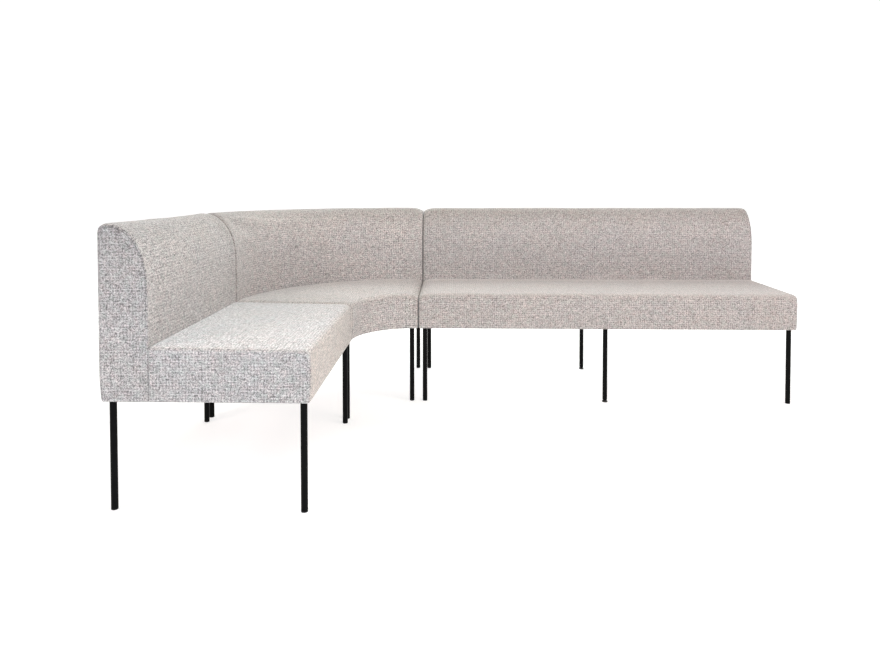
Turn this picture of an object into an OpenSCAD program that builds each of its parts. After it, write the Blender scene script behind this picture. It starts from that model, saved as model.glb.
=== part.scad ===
// Sectional upholstered banquette: a short straight module, a quarter-circle inner corner
// and a long straight module, side by side on slim tube legs.
// +X runs along the long module, +Y towards its back, +Z up. The origin lies on the floor
// under the middle of the whole bench. Each straight module is drawn in its own frame:
// x along the module, y from the seat front (0) to the rear face (depth).
// The corner is drawn about the centre of its arc, which spans 90 to 180 degrees.

/* [Bench] */
// Length of the short straight module
left_length = 800; // [600:10:1200]
// Length of the long straight module
right_length = 1600; // [1300:10:2200]
// Depth of every module, from the seat front to the rear face
depth = 600; // [570:5:680]
// Radius of the seat front in the corner module
corner_radius = 245; // [235:5:340]
// Gap between neighbouring modules
module_gap = 2; // [1:0.5:6]
// Height of the underside of the upholstery above the floor
underside_height = 320; // [260:5:360]
// Thickness of the seat, from its underside to its front top edge
seat_thickness = 150; // [135:5:180]
// Rise of the top of the back above the underside
back_rise = 502; // [460:2:560]
// Thickness of the back unit
back_thickness = 140; // [136:1:160]

/* [Upholstery form] */
// Rise of the seat at its middle
seat_crown = 5; // [0:0.5:12]
// Rise of the seat's top from its front edge to the back
seat_rear_rise = 6; // [0:0.5:12]
// Radius of the seat's front top edge
seat_front_radius = 32; // [22:1:40]
// Radius of the seat's top edge along the back
seat_rear_radius = 8; // [6:1:18]
// Radius of the upright edges at the ends of a module
end_radius = 12; // [6:1:16]
// Reach of the soft top corners along a module
soft_reach = 40; // [28:1:60]
// Drop of the top corners at a free end
free_drop = 13; // [6:1:20]
// Drop of the top corners where two modules meet
joint_drop = 20; // [8:1:24]
// Inward tuck of the skin at its lower edge
bottom_tuck = 5; // [0:0.5:8]
// Height of the tucked band
tuck_height = 90; // [50:5:110]
// Radius of the lower edges
bottom_radius = 4; // [2:0.5:4]
// Depth of the rounded front of the back
back_curve_depth = 108; // [90:1:112]
// Height of the rounded front of the back
back_curve_height = 180; // [140:1:220]
// Radius of the rear top edge of the back
back_rear_radius = 22; // [14:1:26]

/* [Covers and foam] */
// Thickness of the cover with its wadding
cover_wall = 4; // [4:0.5:6]
// Width of the cover's hem under the frame
hem_width = 16; // [12:1:18]
// Thickness of the hem and the bottom cloth
cloth_thickness = 1.5; // [1:0.25:2]
// Foam between the cover and the frame at the seat front and the ends
side_foam = 16; // [12:1:24]
// Foam on the front of the back and over its top
back_foam = 25; // [20:1:30]

/* [Timber frame] */
// Thickness of the rails
rail_thickness = 25; // [22:1:28]
// Height of the rails
rail_height = 75; // [60:5:80]
// Thickness of the seat deck
deck_thickness = 12; // [9:1:15]
// Thickness of the ribs in the back
rib_thickness = 18; // [15:1:21]
// Thickness of the front board of the back
front_board = 4; // [3:0.5:6]
// Thickness of the rear board of the back
rear_board = 5; // [4:0.5:8]
// Height of the back's upper rail
upper_rail_height = 50; // [40:5:60]
// Height of the blocks that take the leg screws
block_height = 40; // [35:1:55]

/* [Legs] */
// Outer diameter of a leg tube
leg_diameter = 20; // [16:1:22]
// Wall of a leg tube
leg_wall = 1.5; // [1:0.25:2]
// Distance of a leg's centre from the faces and the ends of its module
leg_inset = 27; // [25:1:32]
// Side of the square leg plate
plate_side = 80; // [72:1:90]
// Thickness of the leg plates and the link plates
plate_thickness = 3; // [3:0.5:5]
// Distance from the leg's centre to the two near edges of its plate
plate_margin = 11; // [10.5:0.5:13]
// Diameter of the leg screws
leg_screw = 5; // [4:0.5:6]
// Length of a leg screw below its head
leg_screw_length = 32; // [25:1:36]

/* [Feet] */
// Thickness of the flange of a fixed glide
glide_flange = 3; // [2:0.5:5]
// Depth of a glide's plug in its tube
glide_plug = 14; // [10:1:20]
// Diameter of a levelling pad
pad_diameter = 23; // [20:1:30]
// Height of a levelling pad
pad_height = 6.7; // [6:0.1:9]
// Diameter of the levelling stem
stem_diameter = 8; // [6:1:8]
// Longest way out of a levelling stem
level_travel = 15; // [5:1:20]
// Height of the stem's hexagon collar
collar_height = 4; // [3:0.5:6]
// Width of the collar across its corners
collar_width = 16; // [14:0.5:18]

/* [Bolts] */
// Diameter of the bolts between seat and back
back_bolt = 8; // [6:1:8]
// Diameter of the bolts that link the modules
link_bolt = 6; // [5:1:8]
// First link bolt, measured from the seat front
link_first = 200; // [150:5:230]
// Distance between the two link bolts of a module's end
link_spacing = 200; // [150:5:220]
// Width of a link plate
link_width = 36; // [30:1:44]

/* [Hidden] */
$fn = 64;
MODULES = ["left", "corner", "right"];
left_legs = 4;
corner_legs = 5;
right_legs = 5;

fabric = [0.74, 0.71, 0.70];
foam_colour = [0.90, 0.86, 0.66];
timber = [0.80, 0.66, 0.46];
plywood = [0.86, 0.74, 0.56];
black_steel = [0.07, 0.07, 0.075];
black_plastic = [0.10, 0.10, 0.10];
zinc = [0.72, 0.73, 0.74];
black_cloth = [0.13, 0.13, 0.14];

// Clearance between glued or fitted pieces of the frame
fit = 0.2;
// Overrun of cuts past the faces that they open
over = 2;
// Smallest radius kept where an edge radius is used up
least_radius = 1.5;

seat_height = underside_height + seat_thickness;
back_height = underside_height + back_rise;
outer_radius = corner_radius + depth;
corner_centre = [(outer_radius - right_length) / 2, (left_length - outer_radius) / 2];
seat_depth = depth - back_thickness;
half_gap = module_gap / 2;
floor_of_frame = underside_height + cloth_thickness;
rail_top = floor_of_frame + rail_height;
deck_top = rail_top + deck_thickness;
side_space = cover_wall + side_foam;

// The corner's skin is made of flat strips: the angle of one, and how far its middle lies
// inside the true arc at the rear face
corner_strips = 8;
corner_lead_angle = 11;
strip_angle = (90 - 2 * corner_lead_angle) / corner_strips;
function strip_bow(m) = m == "corner" ? outer_radius * (1 - cos(strip_angle / 2)) + fit : 0;

function length_of(m) = m == "left" ? left_length : right_length;
// The gap lies at the joined ends only
function start_of(m) = m == "left" ? 0 : half_gap;
function stop_of(m) = m == "right" ? right_length : length_of(m) - half_gap;
function drops_of(m) = m == "left" ? [free_drop, joint_drop]
    : m == "right" ? [joint_drop, free_drop] : [joint_drop, joint_drop];

module placed(m) {
    if (m == "left")
        translate([corner_centre[0] - corner_radius, corner_centre[1] - left_length, 0])
            rotate([0, 0, 90]) children();
    else if (m == "corner")
        translate([corner_centre[0], corner_centre[1], 0]) children();
    else
        translate([corner_centre[0], corner_centre[1] + corner_radius, 0]) children();
}

// Points along an ellipse about c with radii rx and rz
function arc_points(c, rx, rz, from, to, steps) =
    [for (i = [0:steps]) let (a = from + (to - from) * i / steps)
        [c[0] + rx * cos(a), c[1] + rz * sin(a)]];

// How far a surface is drawn in at distance e from an end, as a quarter ellipse
function eased(e, reach, amount) =
    e >= reach ? 0 : amount * (1 - sqrt(max(0, 1 - pow(1 - e / reach, 2))));

function tuck_at(z) =
    bottom_tuck * pow(max(0, 1 - (z - underside_height) / tuck_height), 2);

// Section of the seat block, from its lower front edge over the top to its lower rear edge.
// side and drop draw it in towards an end, wall sets it inside the cover, crown lifts the top.
function seat_section(side, drop, lift, wall, crown, steps) =
    let (front = side + wall,
         rear = seat_depth - side - wall,
         low = wall > 0 ? floor_of_frame : underside_height + lift,
         top = seat_height - drop - wall,
         spent = (side + drop) / 2 + wall,
         rf = max(seat_front_radius - spent, least_radius),
         rr = max(seat_rear_radius - spent, least_radius),
         rb = wall > 0 ? least_radius : bottom_radius,
         foot = front + tuck_at(low))
    concat(
        arc_points([foot + rb, low + rb], rb, rb, 270, 180, steps > 2 ? 2 : 1),
        [for (k = [1:steps > 2 ? 2 : 1]) let (z = underside_height + tuck_height * k / 2)
            [front + tuck_at(z), z]],
        arc_points([front + rf, top - rf], rf, rf, 180, 90, steps),
        [for (k = [1:steps - 1]) [front + rf + (rear - rr - front - rf) * k / steps,
            top + seat_rear_rise * k / steps + crown * sin(180 * k / steps)]],
        arc_points([rear - rr, top + seat_rear_rise - rr], rr, rr, 90, 0, steps > 2 ? 3 : 2),
        [[rear, low]]);

// Section of the back unit, in the same order
function back_section(side, drop, lift, wall, crown, steps) =
    let (front = seat_depth + side + wall,
         rear = depth - side - wall,
         low = wall > 0 ? floor_of_frame : underside_height + lift,
         top = back_height - drop - wall,
         spent = (side + drop) / 2 + wall,
         rr = max(back_rear_radius - spent, least_radius),
         rb = wall > 0 ? least_radius : bottom_radius,
         curve_foot = back_height - back_curve_height,
         curve_depth = min(back_curve_depth, rear - rr - front),
         foot = rear - tuck_at(low))
    concat(
        [[front, low]],
        arc_points([front + curve_depth, curve_foot], curve_depth, top - curve_foot,
            180, 90, steps + 3),
        arc_points([rear - rr, top - rr], rr, rr, 90, 0, steps > 2 ? 3 : 2),
        [for (k = [2:-1:1]) let (z = underside_height + tuck_height * k / 2)
            [rear - tuck_at(z), z]],
        arc_points([foot - rb, low + rb], rb, rb, 0, -90, steps > 2 ? 2 : 1));

// Distances from an end at which a section is set
function end_steps(fine) = concat(
    [for (a = fine ? [0, 30, 60, 90] : [0, 90]) end_radius * (1 - cos(a))],
    [for (share = fine ? [0.3, 0.65, 1] : [1]) end_radius + (soft_reach - end_radius) * share]);

function section_at(kind, e, drop, wall, fine, crown) =
    let (side = eased(e, end_radius, end_radius),
         fall = eased(e, soft_reach, drop),
         lift = eased(e, bottom_radius, bottom_radius),
         steps = fine ? 4 : 2)
    kind == "seat" ? seat_section(side, fall, lift, wall, crown, steps)
        : back_section(side, fall, lift, wall, crown, steps);

// Distance of a section from the end face, inside the cover where wall is set
function stand_off(e, wall) = wall + e * (1 - wall / soft_reach);

// The crown grows from nothing at the soft corners to its full rise
crown_reach = 150;
crown_steps_shares = [0.6, 1];
function crown_at(kind, share) = kind == "seat" ? seat_crown * sin(90 * share) : 0;
function crown_distance(share) = soft_reach + (crown_reach - soft_reach) * share;

function straight_rings(m, kind, wall, fine) =
    let (a = start_of(m), b = stop_of(m), drops = drops_of(m), es = end_steps(fine),
         mids = kind == "seat" ? (fine ? crown_steps_shares : [1]) : [])
    concat(
        [for (e = es) [for (p = section_at(kind, e, drops[0], wall, fine, 0))
            [a + stand_off(e, wall), p[0], p[1]]]],
        [for (s = mids) [for (p = section_at(kind, soft_reach, 0, wall, fine, crown_at(kind, s)))
            [a + crown_distance(s), p[0], p[1]]]],
        [for (i = [len(mids) - 1:-1:0])
            [for (p = section_at(kind, soft_reach, 0, wall, fine, crown_at(kind, mids[i])))
                [b - crown_distance(mids[i]), p[0], p[1]]]],
        [for (i = [len(es) - 1:-1:0]) [for (p = section_at(kind, es[i], drops[1], wall, fine, 0))
            [b - stand_off(es[i], wall), p[0], p[1]]]]);

// A point of the corner at distance e from the end plane, on the arc of radius r
function on_end_plane(r, e) = [sqrt(r * r - e * e), e];

function corner_rings(kind, wall, fine) =
    let (es = end_steps(fine), drops = drops_of("corner"))
    concat(
        [for (e = es) [for (p = section_at(kind, e, drops[0], wall, fine, 0))
            let (q = on_end_plane(corner_radius + p[0], half_gap + stand_off(e, wall)))
                [-q[0], q[1], p[1]]]],
        [for (i = [0:corner_strips]) let (a = 180 - corner_lead_angle - strip_angle * i,
            lift_share = min(1, min(i, corner_strips - i) / 2 + 0.5))
            [for (p = section_at(kind, soft_reach, 0, wall, fine, crown_at(kind, lift_share)))
                [(corner_radius + p[0]) * cos(a), (corner_radius + p[0]) * sin(a), p[1]]]],
        [for (i = [len(es) - 1:-1:0]) [for (p = section_at(kind, es[i], drops[1], wall, fine, 0))
            let (q = on_end_plane(corner_radius + p[0], half_gap + stand_off(es[i], wall)))
                [-q[1], q[0], p[1]]]]);

function middle_of(ring) = [for (k = [0:2]) let (v = [for (p = ring) p[k]])
    v * [for (p = ring) 1] / len(ring)];

// Closed skin through a row of equal sections
module skin(rings) {
    n = len(rings[0]);
    last = (len(rings) - 1) * n;
    hub = last + n;
    polyhedron(
        points = concat([for (ring = rings) each ring],
            [middle_of(rings[0]), middle_of(rings[len(rings) - 1])]),
        faces = concat(
            [for (i = [0:len(rings) - 2], j = [0:n - 1])
                let (a = i * n + j, b = i * n + (j + 1) % n) each [[a, b, a + n], [b, b + n, a + n]]],
            [for (j = [0:n - 1]) [hub, (j + 1) % n, j]],
            [for (j = [0:n - 1]) [hub + 1, last + j, last + (j + 1) % n]]));
}

module form(m, kind, wall, fine) {
    skin(m == "corner" ? corner_rings(kind, wall, fine) : straight_rings(m, kind, wall, fine));
}

// A flat outline in depth and height, run along a module and held back from both ends
module run(m, hold = 0) {
    if (m == "corner")
        intersection() {
            rotate([0, 0, 90]) rotate_extrude(angle = 90, $fn = 180)
                translate([corner_radius, 0]) children();
            translate([-outer_radius - over, half_gap + hold, 0])
                cube([outer_radius + over - half_gap - hold, outer_radius + over, back_height + over]);
        }
    else
        translate([start_of(m) + hold, 0, 0]) rotate([90, 0, 90])
            linear_extrude(stop_of(m) - start_of(m) - 2 * hold) children();
}

module band(from, to, low, high) {
    translate([from, low]) square([to - from, high - low]);
}

// Stands children, drawn in depth and height, across a module as a board of a thickness.
// spot is a distance along a straight module, or an angle and an offset on the corner.
module across(m, spot, thickness) {
    if (m == "corner")
        rotate([0, 0, spot[0]]) translate([corner_radius, spot[1] + thickness / 2, 0])
            rotate([90, 0, 0]) linear_extrude(thickness) children();
    else
        translate([spot - thickness / 2, 0, 0]) rotate([90, 0, 90])
            linear_extrude(thickness) children();
}

// Rails across the seat, set at the ends and over the middle legs
corner_rail_angles = [120, 150];
function rail_spots(m) =
    let (e = side_space + rail_thickness / 2)
    m == "corner" ? concat([[90, half_gap + e], [180, -half_gap - e]],
        [for (a = corner_rail_angles) [a, 0]])
    : m == "left" ? [start_of(m) + e, left_length / 2, stop_of(m) - e]
    : [start_of(m) + e, right_length / 4, right_length / 2, right_length * 3 / 4, stop_of(m) - e];

// Ribs of the back, at the ends and between
corner_rib_angles = [112.5, 135, 157.5];
function rib_spots(m) =
    let (e = side_space + rib_thickness / 2)
    m == "corner" ? concat([[90, half_gap + e], [180, -half_gap - e]],
        [for (a = corner_rib_angles) [a, 0]])
    : m == "left" ? [start_of(m) + e, left_length / 2, stop_of(m) - e]
    : [start_of(m) + e, right_length / 4, right_length / 2, right_length * 3 / 4, stop_of(m) - e];

// Legs of a module: place and the turn that points the plate inwards
function leg_spots(m) =
    let (f = leg_inset, r = depth - leg_inset, a = start_of(m) + leg_inset,
         b = stop_of(m) - leg_inset, c = half_gap + leg_inset,
         rf = corner_radius + leg_inset, rr = outer_radius - leg_inset)
    m == "left" ? [[a, f, 0], [a, r, 270], [b, f, 90], [b, r, 180]]
    : m == "right" ? [[a, f, 0], [a, r, 270], [right_length / 2, f, 0], [right_length / 2, r, 270],
        [b, f, 90]]
    : [[-rf, c, 90], [-rr, c, 0], [-c, rf, 90], [-c, rr, 180],
        [-rr * cos(45), rr * sin(45), 315]];

plate_far = plate_side - plate_margin;
screw_margin = 10;
screw_near = screw_margin - plate_margin;
screw_far = plate_far - screw_margin;
screw_spots = [[screw_far, screw_near], [screw_near, screw_far], [screw_far, screw_far]];

module on_legs(m) {
    for (spot = leg_spots(m))
        translate([spot[0], spot[1], 0]) rotate([0, 0, spot[2]]) children();
}

// Holes of one radius for the leg screws, over a height
module leg_screw_holes(m, r, low, high) {
    on_legs(m) for (p = screw_spots) translate([p[0], p[1], low]) cylinder(r = r, h = high - low);
}

plate_bottom = underside_height - plate_thickness;
leg_screw_r = leg_screw / 2;
screw_hole_r = leg_screw_r + fit / 2;

module pilot_holes(m) {
    leg_screw_holes(m, screw_hole_r, plate_bottom, plate_bottom + leg_screw_length + over);
}

// Link bolts: places at one end of a module
link_r = link_bolt / 2;
insert_wall = 1.5;
insert_length = 18;
insert_hold = side_space + rail_thickness / 2;
link_rows = [link_first, link_first + link_spacing];

module at_links(m) {
    if (m == "corner")
        for (s = link_rows, end = [0, 1])
            translate(end == 0 ? [-corner_radius - s, half_gap + insert_hold, 0]
                : [-half_gap - insert_hold, corner_radius + s, 0]) children();
    else
        for (s = link_rows, x = [start_of(m) + insert_hold, stop_of(m) - insert_hold])
            translate([x, s, 0]) children();
}

module link_holes(m, r) {
    at_links(m) translate([0, 0, underside_height - over])
        cylinder(r = r, h = insert_length + over + fit);
}

// Bolts between the seat's rear rail and the back's lower rail
back_bolt_r = back_bolt / 2;
back_bolt_height = floor_of_frame + rail_height / 2;
corner_bolt_angles = [105, 127.5, 142.5, 165];
left_bolt_shares = [0.25, 0.75];
right_bolt_shares = [0.125, 0.375, 0.625, 0.875];
function bolt_spots(m) =
    m == "corner" ? corner_bolt_angles
    : [for (share = m == "left" ? left_bolt_shares : right_bolt_shares) length_of(m) * share];

module at_back_bolts(m) {
    for (spot = bolt_spots(m))
        if (m == "corner")
            rotate([0, 0, spot - 90]) translate([0, corner_radius, back_bolt_height])
                rotate([-90, 0, 0]) children();
        else
            translate([spot, 0, back_bolt_height]) rotate([-90, 0, 0]) children();
}

nut_barrel_r = back_bolt_r + insert_wall;
nut_flange_r = nut_barrel_r * 2;
nut_flange = 1.5;
nut_barrel = 12;

module back_bolt_holes(m) {
    at_back_bolts(m) translate([0, 0, rear_rail_front(m) - over])
        cylinder(r = back_bolt_r + fit, h = lower_rail_back - rear_rail_front(m) + 2 * over);
    at_back_bolts(m) translate([0, 0, lower_rail_back - nut_barrel])
        cylinder(r = nut_barrel_r + fit, h = nut_barrel + over);
}

// Places of the rails in depth
front_rail_back = side_space + rail_thickness;
function rear_rail_back(m) = seat_depth - cover_wall - strip_bow(m);
function rear_rail_front(m) = rear_rail_back(m) - rail_thickness;
lower_rail_front = seat_depth + cover_wall;
lower_rail_back = lower_rail_front + rail_thickness;
function rear_board_back(m) = depth - cover_wall - bottom_tuck - strip_bow(m);
function rear_board_front(m) = rear_board_back(m) - rear_board;
function rib_back(m) = rear_board_front(m) - fit;
rib_front = lower_rail_back + front_board + fit;
board_low = rail_top + deck_thickness;
curve_low = back_height - back_curve_height;
rib_top = back_height - cover_wall - back_foam;

// Outline of the space that the back's frame takes, inside the foam
module back_frame_space(m) {
    band(lower_rail_front - over, lower_rail_back, floor_of_frame - over, rail_top + fit);
    polygon(rib_outline(lower_rail_back, rear_board_back(m) + fit, floor_of_frame - over, rib_top));
}

// A rib at an end of the corner stands off its radius, so it ends short of the curved board
function rib_bow(m, spot) =
    let (r = corner_radius + rib_back(m))
    m == "corner" && spot[1] != 0 ? r - sqrt(r * r - pow(abs(spot[1]) + rib_thickness / 2, 2)) : 0;

// Outline of a rib: upright in front up to the curve, then over it to the rear board
function rib_outline(front, rear, low, top) =
    let (sweep_depth = min(back_curve_depth - back_foam, rear - front - least_radius))
    concat([[front, low], [front, curve_low]],
        arc_points([front + sweep_depth, curve_low], sweep_depth, top - curve_low, 180, 90, 8),
        [[rear, top], [rear, low]]);

upper_rail_low = rib_top - upper_rail_height - rail_thickness;
function upper_rail_front(m) = rib_back(m) - rail_thickness;

module seat_cover(m) {
    color(fabric) placed(m) difference() {
        form(m, "seat", 0, true);
        form(m, "seat", cover_wall, false);
        run(m, hem_width) band(hem_width, seat_depth - hem_width, underside_height - over,
            floor_of_frame + over);
        back_bolt_holes(m);
        pilot_holes(m);
    }
}

module seat_foam(m) {
    color(foam_colour) placed(m) difference() {
        form(m, "seat", cover_wall, false);
        run(m, side_space) band(side_space, seat_depth + over, floor_of_frame - over, deck_top);
    }
}

module seat_deck(m) {
    color(plywood) placed(m)
        run(m, side_space) band(side_space, rear_rail_back(m), rail_top, deck_top);
}

module front_rail(m) {
    color(timber) placed(m) difference() {
        run(m, side_space) band(side_space, front_rail_back, floor_of_frame, rail_top - fit);
        pilot_holes(m);
    }
}

module rear_rail(m) {
    color(timber) placed(m) difference() {
        run(m, side_space) band(rear_rail_front(m), rear_rail_back(m), floor_of_frame, rail_top - fit);
        back_bolt_holes(m);
    }
}

// Cross rails between the two long rails, and the blocks that take the leg screws
module cross_rails(m) {
    color(timber) placed(m) {
        difference() {
            intersection() {
                for (spot = rail_spots(m)) across(m, spot, rail_thickness)
                    band(0, seat_depth, floor_of_frame, rail_top - fit);
                seat_bay(m, side_space);
            }
            pilot_holes(m);
            link_holes(m, link_r + insert_wall);
        }
        difference() {
            intersection() {
                leg_blocks(m);
                seat_bay(m, side_space + rail_thickness + fit);
            }
            for (spot = rail_spots(m)) across(m, spot, rail_thickness + 2 * fit)
                band(0, seat_depth, floor_of_frame - over, rail_top + over);
            pilot_holes(m);
        }
    }
}

module seat_bay(m, hold) {
    run(m, hold) band(front_rail_back + fit, rear_rail_front(m) - fit, floor_of_frame - over,
        rail_top + over);
}

module leg_blocks(m) {
    on_legs(m) translate([-plate_margin, -plate_margin, floor_of_frame])
        cube([plate_side + over, plate_side + over, block_height]);
}

module bottom_cloth(m) {
    hold = hem_width + fit;
    color(black_cloth) placed(m) difference() {
        union() {
            run(m, hold) band(hold, seat_depth - hold, underside_height, floor_of_frame);
            run(m, hold) band(seat_depth + hold, depth - hold - bottom_tuck, underside_height,
                floor_of_frame);
        }
        leg_screw_holes(m, screw_hole_r, underside_height - over, floor_of_frame + over);
        link_holes(m, link_r + insert_wall + fit);
    }
}

module back_cover(m) {
    color(fabric) placed(m) difference() {
        form(m, "back", 0, true);
        form(m, "back", cover_wall, false);
        run(m, hem_width) band(seat_depth + hem_width, depth - hem_width - bottom_tuck,
            underside_height - over, floor_of_frame + over);
        back_bolt_holes(m);
        pilot_holes(m);
    }
}

module back_foam(m) {
    color(foam_colour) placed(m) difference() {
        form(m, "back", cover_wall, false);
        run(m, side_space) back_frame_space(m);
    }
}

module back_boards(m) {
    color(plywood) placed(m) {
        run(m, side_space) band(lower_rail_back, lower_rail_back + front_board, board_low,
            curve_low);
        run(m, side_space) band(rear_board_front(m), rear_board_back(m),
            floor_of_frame + least_radius, rib_top - fit);
    }
}

// Ribs notched for the three long rails, the rails themselves and the blocks over the legs
module back_frame(m) {
    color(timber) placed(m) {
        difference() {
            for (spot = rib_spots(m)) across(m, spot, rib_thickness)
                polygon(rib_outline(rib_front, rib_back(m) - rib_bow(m, spot), floor_of_frame,
                    rib_top - fit));
            run(m) band(rib_back(m) - rail_thickness - fit, depth, floor_of_frame - over,
                rail_top + fit);
            run(m) band(upper_rail_front(m) - fit, depth, upper_rail_low - fit,
                upper_rail_low + upper_rail_height + fit);
            pilot_holes(m);
        }
        difference() {
            run(m, side_space) band(lower_rail_front, lower_rail_back, floor_of_frame, rail_top);
            back_bolt_holes(m);
        }
        difference() {
            run(m, side_space) band(rib_back(m) - rail_thickness, rib_back(m), floor_of_frame,
                rail_top);
            pilot_holes(m);
        }
        run(m, side_space) band(upper_rail_front(m), rib_back(m), upper_rail_low,
            upper_rail_low + upper_rail_height);
        difference() {
            intersection() {
                leg_blocks(m);
                run(m, side_space + rib_thickness + fit) band(lower_rail_back + fit,
                    rib_back(m) - rail_thickness - fit, floor_of_frame - over, rail_top);
            }
            for (spot = rib_spots(m)) across(m, spot, rib_thickness + 2 * fit)
                band(seat_depth, depth, floor_of_frame - over, rail_top + over);
            pilot_holes(m);
        }
    }
}

leg_r = leg_diameter / 2;
tube_bore_r = leg_r - leg_wall;
pad_r = pad_diameter / 2;
stem_r = stem_diameter / 2;
// The stem's head turns in the pad, its collar clears the pad's top
pad_floor_share = 0.3;
pad_roof_share = 0.7;
pad_floor = pad_height * pad_floor_share;
pad_roof = pad_height * pad_roof_share;
head_overhang = 2;
head_r = stem_r + head_overhang;
running = fit / 2;
collar_low = pad_height + running;
level_tube_bottom = collar_low + collar_height + running;
level_nut_length = 20;
level_thread = level_travel + level_nut_length;

// The levelling legs stand at the middle of the long module, the front one first
level_legs = [for (i = [0:right_legs - 1]) if (leg_spots("right")[i][0] == right_length / 2) i];
function is_level(m, i) = m == "right" && (i == level_legs[0] || i == level_legs[1]);

module leg(m, i) {
    spot = leg_spots(m)[i];
    low = is_level(m, i) ? level_tube_bottom : glide_flange;
    color(black_steel) placed(m) translate([spot[0], spot[1], 0]) rotate([0, 0, spot[2]])
        difference() {
            union() {
                translate([0, 0, low]) cylinder(r = leg_r, h = plate_bottom - low);
                leg_plate();
            }
            translate([0, 0, low - over]) cylinder(r = tube_bore_r, h = plate_bottom - low + over);
            for (p = screw_spots) translate([p[0], p[1], plate_bottom - over])
                cylinder(r = screw_hole_r, h = plate_thickness + 2 * over);
        }
}

// Square plate with rounded corners
plate_corner_share = 0.8;
module leg_plate() {
    r = screw_margin * plate_corner_share;
    translate([0, 0, plate_bottom]) linear_extrude(plate_thickness) hull()
        for (x = [-plate_margin + r, plate_far - r], y = [-plate_margin + r, plate_far - r])
            translate([x, y]) circle(r = r, $fn = 32);
}

module at_leg(m, i) {
    spot = leg_spots(m)[i];
    placed(m) translate([spot[0], spot[1], 0]) rotate([0, 0, spot[2]]) children();
}

// Push-in glide: a flange with a rounded lower edge and a plug in the tube
module plain_glides() {
    edge = glide_flange / 2;
    color(black_plastic) for (m = MODULES, i = [0:len(leg_spots(m)) - 1])
        if (!is_level(m, i)) at_leg(m, i) rotate_extrude() union() {
            translate([0, edge]) square([leg_r, glide_flange - edge]);
            square([leg_r - edge, edge]);
            intersection() {
                translate([leg_r - edge, edge]) circle(r = edge, $fn = 24);
                square([leg_r, edge]);
            }
            translate([0, glide_flange - edge]) square([tube_bore_r - fit / 2, glide_plug + edge]);
        }
}

module level_pad(i) {
    edge = pad_height / 4;
    color(black_plastic) at_leg("right", i) rotate_extrude() difference() {
        hull() {
            square([pad_r - edge, pad_height]);
            translate([pad_r - edge, edge]) circle(r = edge, $fn = 24);
            translate([0, pad_roof - edge]) square([pad_r, edge]);
        }
        translate([-over, pad_floor]) square([head_r + running + over, pad_roof - pad_floor]);
        translate([-over, pad_roof - running]) square([stem_r + running + over, pad_height]);
    }
}

module level_stem(i) {
    color(black_steel) at_leg("right", i) {
        translate([0, 0, pad_floor + running])
            cylinder(r = head_r, h = pad_roof - pad_floor - 2 * running);
        translate([0, 0, pad_roof - 2 * running])
            cylinder(r = stem_r, h = level_tube_bottom + level_thread - pad_roof + 2 * running);
        translate([0, 0, collar_low]) cylinder(r = collar_width / 2, h = collar_height, $fn = 6);
    }
}

// Threaded nut pressed into the end of a levelling leg's tube
module level_nuts() {
    color(zinc) for (i = level_legs) at_leg("right", i) translate([0, 0, level_tube_bottom])
        difference() {
            cylinder(r = tube_bore_r - running / 4, h = level_nut_length);
            translate([0, 0, -over])
                cylinder(r = stem_r + running / 2, h = level_nut_length + 2 * over);
        }
}

screw_head_share = 0.6;
screw_crest_share = 0.7;
screw_rim_share = 0.9;
module leg_screws() {
    head_h = leg_screw * screw_head_share;
    color(zinc) for (m = MODULES) placed(m) on_legs(m) for (p = screw_spots)
        translate([p[0], p[1], plate_bottom]) {
            translate([0, 0, -head_h]) cylinder(r1 = leg_screw * screw_crest_share,
                r2 = leg_screw * screw_rim_share, h = head_h);
            translate([0, 0, -head_h / 2]) cylinder(r = leg_screw_r, h = leg_screw_length + head_h / 2);
        }
}

bolt_head_height_share = 0.65;
bolt_head_radius_share = 0.85;
module back_bolts() {
    head_h = back_bolt * bolt_head_height_share;
    color(zinc) for (m = MODULES) placed(m) at_back_bolts(m)
        translate([0, 0, rear_rail_front(m)]) {
            translate([0, 0, -head_h]) cylinder(r = back_bolt * bolt_head_radius_share, h = head_h);
            translate([0, 0, -head_h / 2])
                cylinder(r = back_bolt_r, h = lower_rail_back - rear_rail_front(m) + head_h / 2);
        }
}

module back_nuts() {
    color(zinc) for (m = MODULES) placed(m) at_back_bolts(m)
        translate([0, 0, lower_rail_back]) difference() {
            union() {
                cylinder(r = nut_flange_r, h = nut_flange);
                translate([0, 0, -nut_barrel]) cylinder(r = nut_barrel_r, h = nut_barrel + nut_flange);
            }
            translate([0, 0, -nut_barrel - over])
                cylinder(r = back_bolt_r + fit / 4, h = nut_barrel + nut_flange + 2 * over);
        }
}

// Plates that bridge two neighbouring modules from below
link_half = half_gap + insert_hold;
module link_outline() {
    reach = link_half + link_width / 2;
    difference() {
        hull() for (end = [-1, 1]) translate([end * (reach - link_width / 2), 0])
            circle(r = link_width / 2, $fn = 64);
        for (end = [-1, 1]) translate([end * link_half, 0]) circle(r = link_r + fit, $fn = 48);
    }
}

module at_joints() {
    placed("corner") for (s = link_rows) {
        translate([-corner_radius - s, 0, 0]) rotate([0, 0, 90]) children();
        translate([0, corner_radius + s, 0]) children();
    }
}

module link_plates() {
    color(black_steel) at_joints() translate([0, 0, plate_bottom])
        linear_extrude(plate_thickness) link_outline();
}

link_head_height_share = 0.6;
link_head_radius_share = 0.9;
link_grip_share = 0.8;
module link_bolts() {
    head_h = link_bolt * link_head_height_share;
    color(zinc) at_joints() for (end = [-1, 1]) translate([end * link_half, 0, plate_bottom]) {
        translate([0, 0, -head_h]) cylinder(r = link_bolt * link_head_radius_share, h = head_h);
        translate([0, 0, -head_h / 2]) cylinder(r = link_r - fit / 4,
            h = plate_thickness + insert_length * link_grip_share + head_h / 2);
    }
}

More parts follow.
